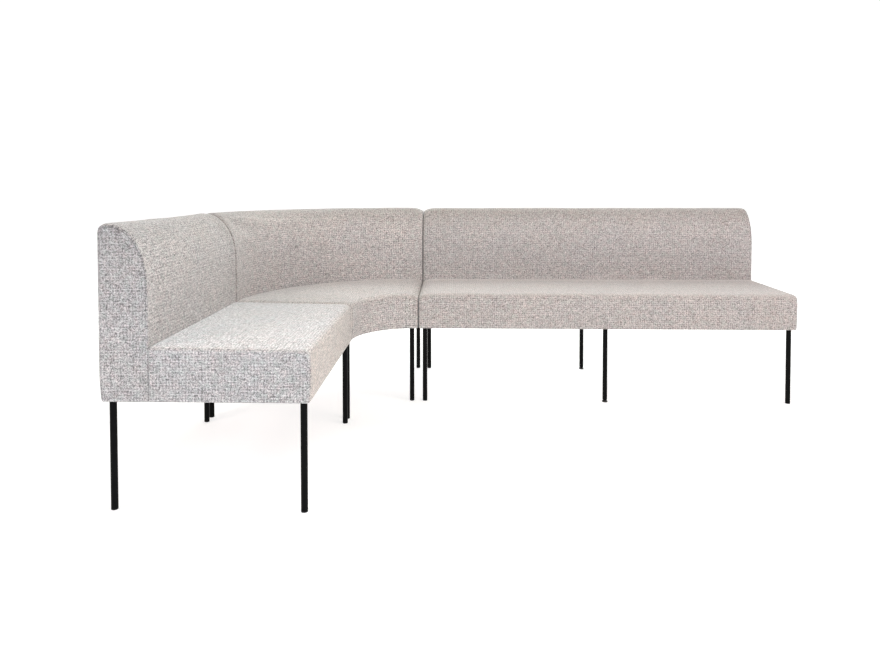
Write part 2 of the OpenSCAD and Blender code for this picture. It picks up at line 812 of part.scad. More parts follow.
// Threaded inserts in the end rails, also at the free ends for a further module
module link_inserts() {
    color(zinc) for (m = MODULES) placed(m) at_links(m) translate([0, 0, underside_height])
        difference() {
            cylinder(r = link_r + insert_wall, h = insert_length);
            translate([0, 0, -over]) cylinder(r = link_r, h = insert_length + 2 * over);
        }
}

for (m = MODULES) {
    seat_cover(m);
    seat_foam(m);
    seat_deck(m);
    front_rail(m);
    rear_rail(m);
    cross_rails(m);
    bottom_cloth(m);
    back_cover(m);
    back_foam(m);
    back_boards(m);
    back_frame(m);
    for (i = [1:len(leg_spots(m))])
        leg(m, i - 1);
}
plain_glides();
level_pad(level_legs[0]);  // level_pad_front
level_pad(level_legs[1]);  // level_pad_rear
level_stem(level_legs[0]);  // level_stem_front
level_stem(level_legs[1]);  // level_stem_rear
level_nuts();
leg_screws();
back_bolts();
back_nuts();
link_plates();
link_bolts();
link_inserts();
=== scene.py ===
# Looks of the upholstered corner banquette: a short module, a quarter-round corner and a
# long module, each with a seat and a back in woven covers, on black legs. All lengths are
# in metres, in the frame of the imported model.
import math

import bmesh
import bpy
import numpy as np
from mathutils import Matrix, Vector, noise


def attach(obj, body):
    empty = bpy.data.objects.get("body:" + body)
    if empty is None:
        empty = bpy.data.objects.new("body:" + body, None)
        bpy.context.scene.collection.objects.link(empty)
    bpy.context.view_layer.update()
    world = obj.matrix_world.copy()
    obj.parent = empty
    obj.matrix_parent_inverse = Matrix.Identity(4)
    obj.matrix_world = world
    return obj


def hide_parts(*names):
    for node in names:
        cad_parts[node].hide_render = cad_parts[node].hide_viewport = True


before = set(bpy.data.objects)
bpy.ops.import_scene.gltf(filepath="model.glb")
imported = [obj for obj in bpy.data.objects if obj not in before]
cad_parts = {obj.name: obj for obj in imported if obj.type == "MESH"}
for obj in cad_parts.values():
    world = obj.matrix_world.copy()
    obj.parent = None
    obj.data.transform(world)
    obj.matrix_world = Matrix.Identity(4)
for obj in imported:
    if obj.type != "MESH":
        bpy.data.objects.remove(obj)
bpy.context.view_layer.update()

# Values of the bench; the left module runs towards the viewer, the right one to the right
LEFT_LENGTH = 0.800
RIGHT_LENGTH = 1.600
DEPTH = 0.600
CORNER_RADIUS = 0.245
HALF_GAP = 0.001
UNDERSIDE = 0.320
SEAT_HEIGHT = 0.470
BACK_HEIGHT = 0.822
BACK_THICKNESS = 0.140
SEAT_DEPTH = DEPTH - BACK_THICKNESS
OUTER_RADIUS = CORNER_RADIUS + DEPTH
CENTRE = ((OUTER_RADIUS - RIGHT_LENGTH) / 2, (LEFT_LENGTH - OUTER_RADIUS) / 2)

# Values of the upholstery's form. Towards an end the top falls by a drop over a reach: at
# the free ends, at the left joint, and as an open notch at the right joint
SEAT_CROWN = 0.005
SEAT_REAR_RISE = 0.006
SEAT_FRONT_RADIUS = 0.032
SEAT_REAR_RADIUS = 0.008
END_RADIUS = 0.012
SEWN_RADIUS = 0.004
SOFT_REACH = 0.040
JOINT_REACH = 0.055
NOTCH_REACH = 0.060
FREE_DROP = 0.013
JOINT_DROP = 0.020
NOTCH_DROP = 0.024
BOTTOM_TUCK = 0.005
TUCK_HEIGHT = 0.090
BOTTOM_RADIUS = 0.004
# The covers end in a soft roll that hangs below the frame, outside the leg plates
ROLL_DROP = 0.004
ROLL_WIDTH = 0.013
BACK_CURVE_DEPTH = 0.108
BACK_CURVE_HEIGHT = 0.180
BACK_REAR_RADIUS = 0.022
LEAST_RADIUS = 0.0015
CROWN_REACH = 0.150
HEM_WIDTH = 0.016
# Distance over which the corner passes from straight ends into its round
BEND_EASE = 0.12

# Sections of the mesh: distances from an end where they are close, and the pitch between
END_STATIONS = [0, 0.0012, 0.0026, 0.005, 0.008, 0.012, 0.018, 0.025, 0.033, 0.043]
PITCH = 0.0135
# Cells of a section's upright and its level sides, each with the share of its first cell
CELLS = {"seat": ((15, 0.02), (34, 0.008)), "back": ((40, 0.008), (14, 0.02))}
# Cloth and inner pressure of the simulation
CLOTH = {
    "quality": 4,
    "mass": 0.35,
    "tension_stiffness": 25,
    "compression_stiffness": 20,
    "shear_stiffness": 8,
    "bending_stiffness": 1.5,
    "use_pressure": True,
    "uniform_pressure_force": 4,
}
# Steps of the simulation, how much of its hold a point next to a free one gives up, and
# the rise that the cover may have over the foam
PUFF_FRAMES = 20
RELEASE = 0.9
PUFF_CAP = 0.004
# Distances over which the cover comes free: from a joint, a free end's seam and the
# underside, and on a back's front from just below the seat's top
JOINT_HOLD = 0.05
SEAM_HOLD = 0.02
FOOT_HOLD = 0.04
CREASE_HOLD = 0.03
CREASE_DEPTH = 0.01
# Waves of the foam and puckers beside the seams: how many to a metre, and how high
LONG_WAVES = (6.5, 0.0011)
SHORT_WAVES = (21.0, 0.0004)
PUCKERS = (55, 0.0009)
PUCKER_REACH = 0.05
# Depth of a sewn seam with its shares on seats and beside the seat at a free end, the
# parts of it that go into the section and along the module, and towards which section
SEAM_DEPTH = 0.0018
SEAT_SEAM_SHARE = 0.45
BESIDE_SEAT_SHARE = 0.3
SEAM_INTO, SEAM_ALONG, SEAM_AIM = 0.55, 0.6, 3
# Width of the painted shade along an end panel's seam, how dark it is above and beside the
# seat, the height over which the one passes into the other, and where it fades out before
# the rear face
FREE_SEAM_WIDTH = 0.003
FREE_SEAM_SHARE = 1.0
LOW_SEAM_SHARE = 0.4
SEAM_RISE = 0.1
SEAM_REAR_GAP, SEAM_REAR_REACH = 0.006, 0.012
# Height below the top over which a cushion's uprights pass into its top
TOP_BLEND = {"seat": 0.02, "back": 0.12}
# Painted light and shade of each cover: faces lighter or darker as the light falls on them.
# For each: the painted lightness on the upright faces, on the top and on the seat's top
# along the back; what it gains towards the first and the last end, and how far that
# reaches; how much warmer than the mean the painted light makes the upright faces and the
# top; the melange's contrast on both
TONES = {
    "left_seat": ((-0.11, 0.23, -0.02), (0, -0.17, 0.50), (0.08, -0.03), (1.4, 1.5)),
    "left_back": ((-0.17, -0.28, 0), (0, -0.04, 0.20), (0.01, 0.01), (1.7, 1.7)),
    "corner_seat": ((-0.08, 0.08, 0.06), (-0.15, -0.06, 0.28), (0.035, 0.01), (1.1, 0.9)),
    "corner_back": ((0.01, -0.24, 0), (-0.17, 0, 0.24), (0.015, 0.01), (1.05, 0.9)),
    "right_seat": ((-0.165, 0.05, 0.14), (0, 0, 0.10), (0.035, 0.01), (0.95, 0.6)),
    "right_back": ((-0.075, -0.22, 0), (0, -0.05, 0.30), (0.01, 0.01), (0.95, 0.85)),
}
# Distance from the back at which the painted light on the seat's rear strip, over the
# crease's shade, begins, and how far it fades in
REAR_STRIP, REAR_STRIP_FADE = 0.10, 0.06
# Painted light and shade of the end panels at their foot and at their top edge, and the
# power of the height with which the one passes into the other
END_PANEL_PAINTED_LIGHT = {"seat": (-0.08, 0.06, 9), "back": (-0.10, -0.30, 2)}
# Distance round a free edge over which an end panel's painted light and warmth, and its
# contrast, still show
PANEL_TONE_REACH = 0.012
# Places on the roll that the covers are cut from, so that no two show the same threads
ROLL_PLACES = {"left": 0.7, "corner": 11.0, "right": 5.3}
END_PANEL_PLACE = 3.1
CORNER_TOP_PLACE = (9.0, 2.0)
# Width of the painted shade beside the seams at the joints, in the gaps between modules;
# ends not named here are free
SEAM_WIDTHS = {
    ("left", 1): 0.005,
    ("corner", 0): 0.009,
    ("corner", 1): 0.0027,
    ("right", 0): 0.0027,
}
# Ends whose tops fall away to the joint in an open notch
NOTCHED = {("corner", 1), ("right", 0)}

MODULES = ("left", "corner", "right")
DROPS = {
    "left": (FREE_DROP, JOINT_DROP),
    "corner": (JOINT_DROP, NOTCH_DROP),
    "right": (NOTCH_DROP, FREE_DROP),
}


def linked(name, data):
    """A new object in the scene."""
    obj = bpy.data.objects.new(name, data)
    bpy.context.collection.objects.link(obj)
    return obj


def smooth_object(name, work):
    """A new object with the mesh of a bmesh, smoothly shaded."""
    mesh = bpy.data.meshes.new(name)
    work.to_mesh(mesh)
    work.free()
    for face in mesh.polygons:
        face.use_smooth = True
    return linked(name, mesh)


def straight_place(module, t, s, z):
    """A straight module's point at distance t from its first end, depth s and height z."""
    if module == "left":
        return (CENTRE[0] - CORNER_RADIUS - s, CENTRE[1] - LEFT_LENGTH + t, z)
    return (CENTRE[0] + t, CENTRE[1] + CORNER_RADIUS + s, z)


def eased(e, reach, amount):
    """Draw-in at distance e from an end, as a quarter ellipse."""
    if e >= reach:
        return 0.0
    return amount * (1 - math.sqrt(max(0.0, 1 - (1 - e / reach) ** 2)))


def notched(e, amount):
    """Drop at distance e from an open notch: between a quarter ellipse and a slope."""
    slope = max(0.0, 1 - e / NOTCH_REACH) ** 1.5
    return (eased(e, NOTCH_REACH, amount) + amount * slope) / 2


def tuck_at(z):
    return BOTTOM_TUCK * max(0.0, 1 - (z - UNDERSIDE) / TUCK_HEIGHT) ** 2


def arc(c, rx, rz, start, stop, steps):
    angles = np.radians(np.linspace(start, stop, steps + 1))
    return [(c[0] + rx * math.cos(a), c[1] + rz * math.sin(a)) for a in angles]


def rolled(e):
    """How far the roll at the lower edge still hangs at distance e inside it."""
    share = max(0.0, 1 - e / ROLL_WIDTH)
    return ROLL_DROP * share * share * (3 - 2 * share)


def tucked(face, sign, low, high):
    """The upright face of a cover, tucked in at its foot; sign is -1 for a rear face."""
    return [(face + sign * tuck_at(z), z) for z in np.linspace(low, high, 12)]


def roll_line(foot, sign, low, inner):
    """The underside from the frame out to the rolled edge; foot is where the face ends."""
    places = np.linspace(ROLL_WIDTH, BOTTOM_RADIUS, 6)[:-1]
    return [(foot + sign * e, min(inner, low + ROLL_DROP - rolled(e))) for e in places]


def seat_sides(side, rear_side, drop, lift, crown, hang):
    """Front, top, rear and bottom of the seat's section, each as a line of points."""
    front, rear = side, SEAT_DEPTH - rear_side
    low, top = UNDERSIDE + lift - ROLL_DROP, SEAT_HEIGHT - drop
    inner = UNDERSIDE + lift - hang
    spent = (side + drop) / 2
    rf = max(SEAT_FRONT_RADIUS - spent, LEAST_RADIUS)
    rr = max(SEAT_REAR_RADIUS - spent, LEAST_RADIUS)
    rb = BOTTOM_RADIUS
    foot = front + tuck_at(low)
    front_line = (
        arc((foot + rb, low + rb), rb, rb, 225, 180, 3)
        + tucked(front, 1, low + rb * 1.5, UNDERSIDE + TUCK_HEIGHT)
        + arc((front + rf, top - rf), rf, rf, 180, 135, 6)
    )
    span = rear - rr - front - rf
    crowned = [
        (
            front + rf + span * share,
            top + SEAT_REAR_RISE * share + crown * math.sin(math.pi * share),
        )
        for share in np.linspace(0, 1, 25)[1:-1]
    ]
    rear_top = (rear - rr, top + SEAT_REAR_RISE - rr)
    top_line = (
        arc((front + rf, top - rf), rf, rf, 135, 90, 6)
        + crowned
        + arc(rear_top, rr, rr, 90, 45, 5)
    )
    rear_line = arc(rear_top, rr, rr, 45, 0, 5) + [(rear, inner)]
    roll = roll_line(foot, 1, low, inner)
    bottom_line = [(rear, inner)] + roll + arc((foot + rb, low + rb), rb, rb, 270, 225, 3)
    return front_line, top_line, rear_line, bottom_line


def back_sides(side, rear_side, drop, lift, crown, hang):
    """Front, top, rear and bottom of the back's section."""
    front, rear = SEAT_DEPTH + side, DEPTH - rear_side
    low, top = UNDERSIDE + lift - ROLL_DROP, BACK_HEIGHT - drop
    inner = UNDERSIDE + lift - hang
    spent = (side + drop) / 2
    rr = max(BACK_REAR_RADIUS - spent, LEAST_RADIUS)
    rb = BOTTOM_RADIUS
    curve_foot = BACK_HEIGHT - BACK_CURVE_HEIGHT
    curve_depth = min(BACK_CURVE_DEPTH, rear - rr - front)
    centre = (front + curve_depth, curve_foot)
    rise = top - curve_foot
    foot = rear - tuck_at(low)
    front_line = [(front, inner)] + arc(centre, curve_depth, rise, 180, 125, 18)
    top_line = arc(centre, curve_depth, rise, 125, 90, 14) + arc(
        (rear - rr, top - rr), rr, rr, 90, 45, 6
    )
    rear_line = (
        arc((rear - rr, top - rr), rr, rr, 45, 0, 6)
        + tucked(rear, -1, low + rb * 1.5, UNDERSIDE + TUCK_HEIGHT)[::-1]
        + arc((foot - rb, low + rb), rb, rb, 0, -45, 3)
    )
    roll = roll_line(foot, -1, low, inner)[::-1]
    bottom_line = arc((foot - rb, low + rb), rb, rb, -45, -90, 3) + roll + [(front, inner)]
    return front_line, top_line, rear_line, bottom_line


def spread(count, near):
    """Places from 0 to 1, in count steps, with short steps at both ends."""
    inner = np.linspace(0, 1, count - 1)[1:-1]
    return np.concatenate([[0, near], inner, [1 - near, 1]])


def resampled(line, places):
    line = np.array(line, float)
    steps = np.linalg.norm(np.diff(line, axis=0), axis=1)
    along = np.concatenate([[0], np.cumsum(steps)]) / steps.sum()
    return np.stack([np.interp(places, along, line[:, k]) for k in (0, 1)], axis=1)


class Cushion:
    """A closed quad mesh swept through sections of one module's seat or back."""

    def __init__(self, module, kind):
        self.module, self.kind = module, kind
        self.name = f"{module}_{kind}_cushion"
        self.tones = TONES[f"{module}_{kind}"]
        (self.rows, up_step), (self.columns, over_step) = CELLS[kind]
        self.up = spread(self.rows, up_step)
        self.over = spread(self.columns, over_step)
        self.around = 2 * (self.rows + self.columns)
        self.make_stations()
        self.make_points()

    def is_free(self, end):
        return (self.module, end) not in SEAM_WIDTHS

    def to_ends(self, t):
        """Both ends, each with how far from it a point at distance t lies."""
        return enumerate((t - self.start, self.stop - t))

    def edge_radius(self, end):
        """Radius of an end's upright edges: a back's free end has its seam on the edge."""
        return SEWN_RADIUS if self.kind == "back" and self.is_free(end) else END_RADIUS

    def section(self, e, end, share):
        """The section at distance e from an end, with a share of the crown."""
        drop = DROPS[self.module][end]
        radius = self.edge_radius(end)
        side = eased(e, radius, radius)
        # A seat's rear edge lies flush against the back
        rear_radius = SEWN_RADIUS if self.kind == "seat" else radius
        rear_side = eased(e, rear_radius, rear_radius)
        if (self.module, end) in NOTCHED:
            fall = notched(e, drop)
        else:
            fall = eased(e, SOFT_REACH if self.is_free(end) else JOINT_REACH, drop)
        lift = eased(e, BOTTOM_RADIUS, BOTTOM_RADIUS)
        crown = SEAT_CROWN * math.sin(math.pi / 2 * share)
        hang = rolled(e) if self.is_free(end) else 0.0
        sides = (back_sides if self.kind == "back" else seat_sides)(
            side, rear_side, fall, lift, crown, hang
        )
        places = (self.up, self.over, self.up, self.over)
        return [resampled(line, p) for line, p in zip(sides, places)]

    def make_stations(self):
        """Distances of the sections from the first end, over the module's length."""
        if self.module == "corner":
            # Radius on which the corner's length is measured
            self.middle = CORNER_RADIUS + (DEPTH if self.kind == "back" else SEAT_DEPTH) / 2
            self.length = self.middle * math.pi / 2
            self.start, self.stop = HALF_GAP, self.length - HALF_GAP
        else:
            self.length = LEFT_LENGTH if self.module == "left" else RIGHT_LENGTH
            self.start = 0.0 if self.module == "left" else HALF_GAP
            self.stop = self.length - (0.0 if self.module == "right" else HALF_GAP)
        whole = self.stop - self.start
        inner = whole - 2 * END_STATIONS[-1]
        count = round(inner / PITCH)
        run = [END_STATIONS[-1] + inner * k / count for k in range(1, count)]
        self.distances = END_STATIONS + run + [whole - e for e in END_STATIONS[::-1]]

    def placed(self, t, s, z):
        """The model's point at distance t from the first end, depth s and height z."""
        if self.module != "corner":
            return straight_place(self.module, t, s, z)
        first = t <= self.length / 2
        e = t if first else self.length - t
        r = CORNER_RADIUS + s
        turn = min(1.0, max(0.0, (e - SOFT_REACH) / BEND_EASE))
        turn = turn * turn * (3 - 2 * turn)
        offset = (1 - turn) * e + turn * r * math.sin(e / self.middle)
        reach = math.sqrt(r * r - offset * offset)
        if first:
            return (CENTRE[0] - reach, CENTRE[1] + offset, z)
        return (CENTRE[0] - offset, CENTRE[1] + reach, z)

    def make_points(self):
        """Points of rings and end panels, in the model and as distance, depth, height."""
        whole = self.stop - self.start
        rings, points, self.local = [], [], []
        for d in self.distances:
            end = 0 if d <= whole / 2 else 1
            e = whole - d if end else d
            share = min(1.0, max(0.0, (e - SOFT_REACH) / (CROWN_REACH - SOFT_REACH)))
            t, sides = self.start + d, self.section(e, end, share)
            rings.append((t, sides))
            for s, z in np.concatenate([line[:-1] for line in sides]):
                points.append(self.placed(t, s, z))
                self.local.append((t, s, z))
        self.ring_count = len(rings)
        # Cap grids inside the first and last ring, blended from their four sides
        self.caps = []
        for station in (0, self.ring_count - 1):
            t, (front, top, rear, bottom) = rings[station]
            rear, bottom = rear[::-1], bottom[::-1]
            grid = {}
            base = station * self.around
            for i in range(self.rows + 1):
                for j in range(self.columns + 1):
                    edge = self.edge_index(i, j)
                    if edge is not None:
                        grid[i, j] = base + edge
                        continue
                    a, b = self.up[i], self.over[j]
                    p = (
                        (1 - b) * front[i]
                        + b * rear[i]
                        + (1 - a) * bottom[j]
                        + a * top[j]
                        - (1 - a) * (1 - b) * front[0]
                        - a * (1 - b) * front[-1]
                        - (1 - a) * b * rear[0]
                        - a * b * rear[-1]
                    )
                    grid[i, j] = len(points)
                    points.append(self.placed(t, p[0], p[1]))
                    self.local.append((t, p[0], p[1]))
            self.caps.append(grid)
        self.points = np.array(points)
        self.local = np.array(self.local)

    def edge_index(self, i, j):
        """Place on the ring of a cap's border point, or None inside."""
        if j == 0:
            return i
        if i == self.rows:
            return self.rows + j
        if j == self.columns:
            return self.rows + self.columns + (self.rows - i)
        if i == 0:
            return (2 * self.rows + self.columns + (self.columns - j)) % self.around
        return None

    def build(self):
        """The mesh of rings and end panels, with the cloth's map and four attributes."""
        faces, uvs = [], []
        n = self.around
        ring = self.local[n * (self.ring_count // 2) : n * (self.ring_count // 2 + 1)]
        steps = np.linalg.norm(np.diff(np.vstack([ring, ring[:1]]), axis=0), axis=1)
        height = np.concatenate([[0], np.cumsum(steps)])
        for k in range(self.ring_count - 1):
            for j in range(n):
                corners = ((k, j), (k, j + 1), (k + 1, j + 1), (k + 1, j))
                faces.append([a * n + b % n for a, b in corners])
                uvs.append([self.cloth_place(a, b, height) for a, b in corners])
        for which, grid in enumerate(self.caps):
            for i in range(self.rows):
                for j in range(self.columns):
                    corners = ((i, j), (i, j + 1), (i + 1, j + 1), (i + 1, j))
                    face = [grid[corner] for corner in corners]
                    if which == 1:
                        face.reverse()
                    faces.append(face)
                    places = [self.local[v] for v in face]
                    uvs.append([(s + END_PANEL_PLACE, z) for _, s, z in places])
        mesh = bpy.data.meshes.new(self.name)
        mesh.from_pydata([tuple(p) for p in self.points], [], faces)
        layer = mesh.uv_layers.new(name="cloth")
        layer.data.foreach_set("uv", np.array(uvs, float).ravel())
        mesh.validate()
        painted_warmths, contrast = self.tones[2:]
        # Painted shade on the seams, painted light and shade, the light's painted warmth,
        # and the melange's contrast
        for name, values in (
            ("seam", self.seam_shares()),
            ("painted_light", self.nap_lightness()),
            ("painted_warmth", self.blended(painted_warmths, 0.0)),
            ("contrast", self.blended(contrast, 1.0)),
        ):
            attribute = mesh.attributes.new(name, "FLOAT", "POINT")
            attribute.data.foreach_set("value", values)
        self.object = linked(self.name, mesh)
        return self.object

    def seam_shares(self):
        """How much painted shade lies on the seams: fully on them, less beside them."""
        shares = np.zeros(len(self.local))
        for i in range(self.around * self.ring_count):
            t, depth, z = self.local[i]
            for end, distance in self.to_ends(t):
                if not self.is_free(end):
                    share = 1 - distance / SEAM_WIDTHS[self.module, end]
                elif self.kind == "back":
                    # The painted shade of the end panel's seam shows along its curved front
                    # and its top
                    to_rear = DEPTH - SEAM_REAR_GAP - depth
                    ahead = min(1, max(0, to_rear / SEAM_REAR_REACH))
                    up = min(1, max(0, (z - SEAT_HEIGHT) / SEAM_RISE))
                    strength = LOW_SEAM_SHARE + (FREE_SEAM_SHARE - LOW_SEAM_SHARE) * up
                    share = max(0, 1 - distance / FREE_SEAM_WIDTH) * ahead * strength
                else:
                    share = 0.0
                shares[i] = max(shares[i], share)
        return np.clip(shares, 0, 1)

    def top_share(self):
        """How far each point counts as the top of its cushion."""
        t, z = self.local[:, 0], self.local[:, 2]
        blend = TOP_BLEND[self.kind]
        if self.kind == "back":
            return np.clip((z - BACK_HEIGHT + blend) / blend, 0, 1) ** 2
        for end, distance in self.to_ends(t):
            if self.is_free(end):
                # The edge that falls away to a free end still counts as the top
                z = z + [eased(max(e, 0.0), SOFT_REACH, FREE_DROP) for e in distance]
        return np.clip((z - SEAT_HEIGHT + blend) / blend, 0, 1)

    def nap_lightness(self):
        """How much lighter the painted light makes each point, from the uprights to the
        top.
        """
        (upright, level, rear), (first, last, reach) = self.tones[:2]
        share = self.top_share()
        lightness = upright + (level - upright) * share
        into_strip = self.local[:, 1] - SEAT_DEPTH + REAR_STRIP
        lightness += rear * share * np.clip(into_strip / REAR_STRIP_FADE, 0, 1)
        t, z = self.local[:, 0], self.local[:, 2]
        lightness += first * np.clip(1 - (t - self.start) / reach, 0, 1)
        lightness += last * np.clip(1 - (self.stop - t) / reach, 0, 1)
        low, high, power = END_PANEL_PAINTED_LIGHT[self.kind]
        full = BACK_HEIGHT if self.kind == "back" else SEAT_HEIGHT
        rise = np.clip((z - UNDERSIDE) / (full - UNDERSIDE), 0, 1)
        return self.past_end_panels(lightness, low + (high - low) * rise**power)

    def blended(self, values, at_panels):
        """The uprights' value passing into that of the top, and the end panels' own."""
        upright, level = values
        blend = upright + (level - upright) * self.top_share()
        return self.past_end_panels(blend, at_panels)

    def past_end_panels(self, values, at_panels):
        """The values, with those of the end panels there and round the free edges."""
        share = np.ones(len(values))
        for end, distance in self.to_ends(self.local[:, 0]):
            if self.is_free(end):
                reach = PANEL_TONE_REACH * (1 + self.top_share())
                share *= np.clip(distance / reach, 0, 1)
        share[self.around * self.ring_count :] = 0.0
        return at_panels + (values - at_panels) * share

    def cloth_run(self, t):
        """Length of cloth from the first end to a section, measured round the end edges."""
        for end, e in self.to_ends(t):
            radius = self.edge_radius(end)
            if e < radius:
                turn = math.acos(min(1.0, 1 - max(0.0, e) / radius))
                bent = radius * (turn + 1 - math.pi / 2) - e
                return t + bent if end == 0 else t - bent
        return t

    def cloth_place(self, ring, j, height):
        """Where the cloth at a place of the skin lies on the roll, in metres."""
        t = self.cloth_run(self.local[ring * self.around][0])
        place = ROLL_PLACES[self.module]
        if self.module != "corner":
            return (t + place, height[j])
        if self.kind == "seat" and self.rows <= j <= self.rows + self.columns:
            p = self.points[ring * self.around + j % self.around]
            return (p[0] + CORNER_TOP_PLACE[0], p[1] + CORNER_TOP_PLACE[1])
        at_front = self.kind == "seat" and j <= self.rows
        radius = CORNER_RADIUS + (0 if at_front else SEAT_DEPTH)
        return (t / self.middle * radius + place, height[j])


def freedom(cushion):
    """Weights of the simulated rise: none where a cushion meets what is beside it."""
    n, rows, columns = cushion.around, cushion.rows, cushion.columns
    free = np.ones(len(cushion.local))
    for i, (t, _, z) in enumerate(cushion.local):
        on_ring = i < n * cushion.ring_count
        if on_ring:
            j = i % n
            at_rear = cushion.kind == "seat" and j > rows + columns
            if j == 0 or j >= 2 * rows + columns or at_rear:
                free[i] = 0.0
            elif cushion.kind == "back" and j <= rows:
                free[i] = min(1.0, max(0.0, (z - SEAT_HEIGHT + CREASE_DEPTH) / CREASE_HOLD))
        for end, distance in cushion.to_ends(t):
            if cushion.is_free(end):
                # The seam at a free end is held, the panel inside it is free
                if on_ring and distance < SEAM_HOLD:
                    free[i] *= distance / SEAM_HOLD
            else:
                free[i] *= min(1.0, max(0.0, distance) / JOINT_HOLD)
        free[i] *= min(1.0, max(0.0, z - UNDERSIDE) / FOOT_HOLD)
    return free


def puffed(cushion):
    """Lets the cover rise under a soft inner pressure, held at its seams."""
    obj = cushion.object
    free = freedom(cushion)
    rest = cushion.points.copy()
    group = obj.vertex_groups.new(name="held")
    for i, share in enumerate(free):
        if share < 0.999:
            group.add([i], 1.0 - RELEASE * float(share), "REPLACE")
    modifier = obj.modifiers.new("cloth", "CLOTH")
    for key, value in CLOTH.items():
        setattr(modifier.settings, key, value)
    modifier.settings.vertex_group_mass = "held"
    modifier.settings.effector_weights.gravity = 0
    modifier.collision_settings.use_collision = False
    modifier.point_cache.frame_start = 1
    modifier.point_cache.frame_end = PUFF_FRAMES
    scene = bpy.context.scene
    for number in range(1, PUFF_FRAMES + 1):
        scene.frame_set(number)
    graph = bpy.context.evaluated_depsgraph_get()
    shape = obj.evaluated_get(graph).to_mesh()
    now = np.empty(len(rest) * 3)
    shape.vertices.foreach_get("co", now)
    obj.evaluated_get(graph).to_mesh_clear()
    obj.modifiers.remove(modifier)
    scene.frame_set(1)
    moved = now.reshape(-1, 3) - rest
    far = np.linalg.norm(moved, axis=1)
    far[far < 1e-9] = 1e-9
    kept = PUFF_CAP * np.tanh(far / PUFF_CAP) / far
    rest = rest + moved * (kept * free)[:, None]
    cushion.points = rest


def outward(cushion):
    """Unit normals of the present points."""
    mesh = cushion.object.data
    mesh.vertices.foreach_set("co", cushion.points.ravel())
    mesh.update()
    normals = np.empty(len(cushion.points) * 3)
    mesh.vertex_normals.foreach_get("vector", normals)
    return normals.reshape(-1, 3)


def unevenness(cushion):
    """Long soft waves of the foam and cover, and small puckers along the seams."""
    free = freedom(cushion)
    normals = outward(cushion)
    n = cushion.around
    pucker_rate, pucker_height = PUCKERS
    for i, p in enumerate(cushion.points):
        waves = 0.0
        for rate, height in (LONG_WAVES, SHORT_WAVES):
            waves += noise.noise(Vector(p) * rate) * height
        pucker = 0.0
        t, s, z = cushion.local[i]
        if i < n * cushion.ring_count:
            near = min(t - cushion.start, cushion.stop - t)
            if near < PUCKER_REACH:
                fade = math.sin(math.pi * near / PUCKER_REACH)
                place = Vector((s * pucker_rate, z * pucker_rate, t))
                pucker = noise.noise(place) * pucker_height * fade
        cushion.points[i] = p + normals[i] * (waves * free[i] + pucker)


def seamed(cushion):
    """Draws the cover in along the sewn edge of each end panel."""
    n = cushion.around
    depth = SEAM_DEPTH * (1 if cushion.kind == "back" else SEAT_SEAM_SHARE)
    last = cushion.ring_count - 1
    for end, station, inner in ((0, 0, SEAM_AIM), (1, last, last - SEAM_AIM)):
        ring = cushion.points[station * n : (station + 1) * n]
        middle = ring.mean(axis=0)
        behind = cushion.points[inner * n : (inner + 1) * n]
        for j in range(n):
            into = middle - ring[j]
            into /= np.linalg.norm(into)
            along = behind[j] - ring[j]
            along /= np.linalg.norm(along)
            way = into * SEAM_INTO + along * SEAM_ALONG
            low = cushion.local[station * n + j][2] < SEAT_HEIGHT
            drawn = depth * (BESIDE_SEAT_SHARE if low and cushion.is_free(end) else 1.0)
            cushion.points[station * n + j] = ring[j] + way * drawn


def finished(cushion):
    """Gives the mesh its last points, smooth faces and one step of subdivision."""
    mesh = cushion.object.data
    mesh.vertices.foreach_set("co", cushion.points.ravel())
    mesh.update()
    work = bmesh.new()
    work.from_mesh(mesh)
    bmesh.ops.recalc_face_normals(work, faces=work.faces)
    work.to_mesh(mesh)
    work.free()
    for face in mesh.polygons:
        face.use_smooth = True
    smooth = cushion.object.modifiers.new("smooth", "SUBSURF")
    smooth.levels = 1
    smooth.render_levels = 1
    smooth.uv_smooth = "NONE"


